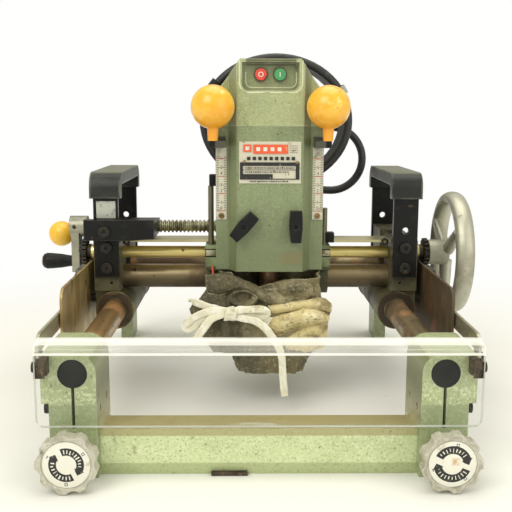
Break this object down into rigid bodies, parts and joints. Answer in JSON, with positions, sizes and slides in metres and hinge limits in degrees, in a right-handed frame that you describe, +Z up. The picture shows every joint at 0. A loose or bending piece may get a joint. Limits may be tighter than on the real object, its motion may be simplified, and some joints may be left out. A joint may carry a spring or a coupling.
{
  "type": "electric router",
  "caption": "Two-way electric housing router: motor head plunging on a crank-driven cross slide, on a handwheel-driven carriage, with clamps, shield, dust bag and cord.",
  "frame": {"origin": "middle of the front casting's foot, on the ground", "axes": "+X to the operator's right, +Y away from the operator, +Z up"},
  "size_m": [0.543, 0.588, 0.4225],
  "materials": {
    "green_paint": "cast, painted semi-gloss, worn",
    "cover_paint": "cast, painted semi-gloss, worn",
    "bar_steel": "ground, rust stained",
    "black_plastic": "moulded",
    "dark_steel": "oiled",
    "pale_steel": "bare sheet",
    "rusty_plate": "rust streaked sheet",
    "black_steel": "black enamel",
    "olive_casting": "cast, worn paint",
    "bearing_bronze": "machined",
    "brass_shaft": "worn",
    "wheel_aluminium": "cast, polished rim",
    "knob_plastic": "moulded, fluted",
    "clear_sheet": "transparent, scuffed",
    "orange_plastic": "polished",
    "printed_plate": "printed sheet",
    "coil_copper": "laminated core",
    "bearing_steel": "ground",
    "tool_steel": "hardened",
    "switch_plastic": "moulded",
    "red_plastic": "moulded",
    "green_plastic": "moulded",
    "canvas": "waxed canvas",
    "string": "cotton",
    "cord_rubber": "smooth"
  },
  "bodies": {
    "frame": {"front_casting": "green_paint", "rear_casting": "green_paint", "guide_bars": "bar_steel", "bar_end_plugs": "black_plastic", "frame_screws": "dark_steel", "side_rails": "pale_steel", "gear_racks": "dark_steel", "shield_brackets": "dark_steel"},
    "left_clamp": {"left_clamp_knob": "knob_plastic"},
    "left_push": {"left_clamp_screw": "dark_steel"},
    "right_clamp": {"right_clamp_knob": "knob_plastic"},
    "right_push": {"right_clamp_screw": "dark_steel"},
    "shield": {"front_shield": "clear_sheet", "shield_ears": "rusty_plate"},
    "carriage": {"left_bracket": "olive_casting", "right_bracket": "olive_casting", "slider_bushes": "bearing_bronze", "cross_bars": "bar_steel", "cover_strip": "pale_steel", "carry_handles": "black_steel", "handle_grips": "black_plastic", "carriage_screws": "dark_steel", "side_plates": "rusty_plate", "screw_bearing": "black_steel"},
    "carriage_lock": {"lock_lever": "orange_plastic"},
    "cross_feed": {"feed_shaft": "brass_shaft", "handwheel": "wheel_aluminium"},
    "crank": {"lead_screw": "tool_steel", "crank_arm": "pale_steel"},
    "crank_grip": {"crank_handle": "black_plastic"},
    "cross_slide": {"saddle": "green_paint", "saddle_bushes": "bearing_bronze", "guide_columns": "bar_steel", "plunge_springs": "tool_steel"},
    "head": {"head_housing": "green_paint", "head_cover": "cover_paint", "name_plate": "printed_plate", "scale_plates": "printed_plate", "grip_arms": "dark_steel", "ball_grips": "orange_plastic", "stator": "coil_copper", "brush_holders": "black_plastic", "motor_bearings": "bearing_steel", "switch_box": "switch_plastic", "cord_gland": "cord_rubber", "cord_hanger": "dark_steel", "canvas_bag": "canvas", "bag_string": "string", "cord_ends": "cord_rubber", "cord_coil": "cord_rubber", "cord_plug": "black_plastic"},
    "stop_push": {"stop_button": "red_plastic"},
    "start_push": {"start_button": "green_plastic"},
    "left_lock": {"left_lock_knob": "black_plastic"},
    "right_lock": {"right_lock_knob": "black_plastic"},
    "spindle": {"armature": "coil_copper", "fan": "black_plastic", "collet_nut": "tool_steel", "cutter": "tool_steel"}
  },
  "joints": [
    {"name": "carriage_slide", "type": "slide", "parent": "frame", "child": "carriage", "axis": [0, 1, 0], "range_m": [-0.062, 0.062]},
    {"name": "feed_turn", "type": "hinge", "parent": "carriage", "child": "cross_feed", "pos_m": [0, 0.2625, 0.17], "axis": [1, 0, 0], "range_deg": [-225, 225]},
    {"name": "crank_turn", "type": "hinge", "parent": "carriage", "child": "crank", "pos_m": [-0.2, 0.2625, 0.203], "axis": [1, 0, 0], "range_deg": [-1390, 2290]},
    {"name": "cross_slide_move", "type": "slide", "parent": "carriage", "child": "cross_slide", "axis": [1, 0, 0], "range_m": [-0.0635, 0.0385]},
    {"name": "crank_grip_turn", "type": "hinge", "parent": "crank", "child": "crank_grip", "pos_m": [-0.255, 0.2625, 0.158], "axis": [1, 0, 0], "continuous": true},
    {"name": "plunge", "type": "slide", "parent": "cross_slide", "child": "head", "axis": [0, 0, 1], "range_m": [-0.038, 0], "stiffness_N_per_m": 1200, "springref_m": 0.1, "deforming": ["plunge_springs"]},
    {"name": "spindle_turn", "type": "hinge", "parent": "head", "child": "spindle", "pos_m": [0.0145, 0.1935, 0.2], "axis": [0, 0, 1], "continuous": true},
    {"name": "stop_press", "type": "slide", "parent": "head", "child": "stop_push", "axis": [0, 1, 0], "range_m": [0, 0.0025], "stiffness_N_per_m": 600, "springref_m": -0.002},
    {"name": "start_press", "type": "slide", "parent": "head", "child": "start_push", "axis": [0, 1, 0], "range_m": [0, 0.0025], "stiffness_N_per_m": 600, "springref_m": -0.002},
    {"name": "left_lock_turn", "type": "hinge", "parent": "head", "child": "left_lock", "pos_m": [-0.015, 0.1525, 0.2175], "axis": [0, 1, 0], "range_deg": [-90, 90]},
    {"name": "right_lock_turn", "type": "hinge", "parent": "head", "child": "right_lock", "pos_m": [0.044, 0.1525, 0.2175], "axis": [0, 1, 0], "range_deg": [-90, 90]},
    {"name": "shield_swing", "type": "hinge", "parent": "frame", "child": "shield", "pos_m": [0, -0.0465, 0.1125], "axis": [-1, 0, 0], "range_deg": [0, 40]},
    {"name": "carriage_lock_turn", "type": "hinge", "parent": "carriage", "child": "carriage_lock", "pos_m": [-0.205, 0.3545, 0.169], "axis": [1, 0, 0], "range_deg": [-90, 20]},
    {"name": "left_clamp_turn", "type": "hinge", "parent": "frame", "child": "left_clamp", "pos_m": [-0.175, -0.0575, 0.0295], "axis": [0, 1, 0], "range_deg": [-2, 2165]},
    {"name": "left_push_move", "type": "slide", "parent": "frame", "child": "left_push", "axis": [0, 1, 0], "range_m": [0, 0.018]},
    {"name": "right_clamp_turn", "type": "hinge", "parent": "frame", "child": "right_clamp", "pos_m": [0.175, -0.0575, 0.0295], "axis": [0, 1, 0], "range_deg": [-2, 2165]},
    {"name": "right_push_move", "type": "slide", "parent": "frame", "child": "right_push", "axis": [0, 1, 0], "range_m": [0, 0.018]}
  ],
  "couplings": [
    {"joint": "feed_turn", "follows": "carriage_slide", "rad_per_m": -62.5},
    {"joint": "crank_turn", "follows": "cross_slide_move", "rad_per_m": -628.32},
    {"joint": "left_clamp_turn", "follows": "left_push_move", "rad_per_m": 2094.4},
    {"joint": "right_clamp_turn", "follows": "right_push_move", "rad_per_m": 2094.4}
  ]
}
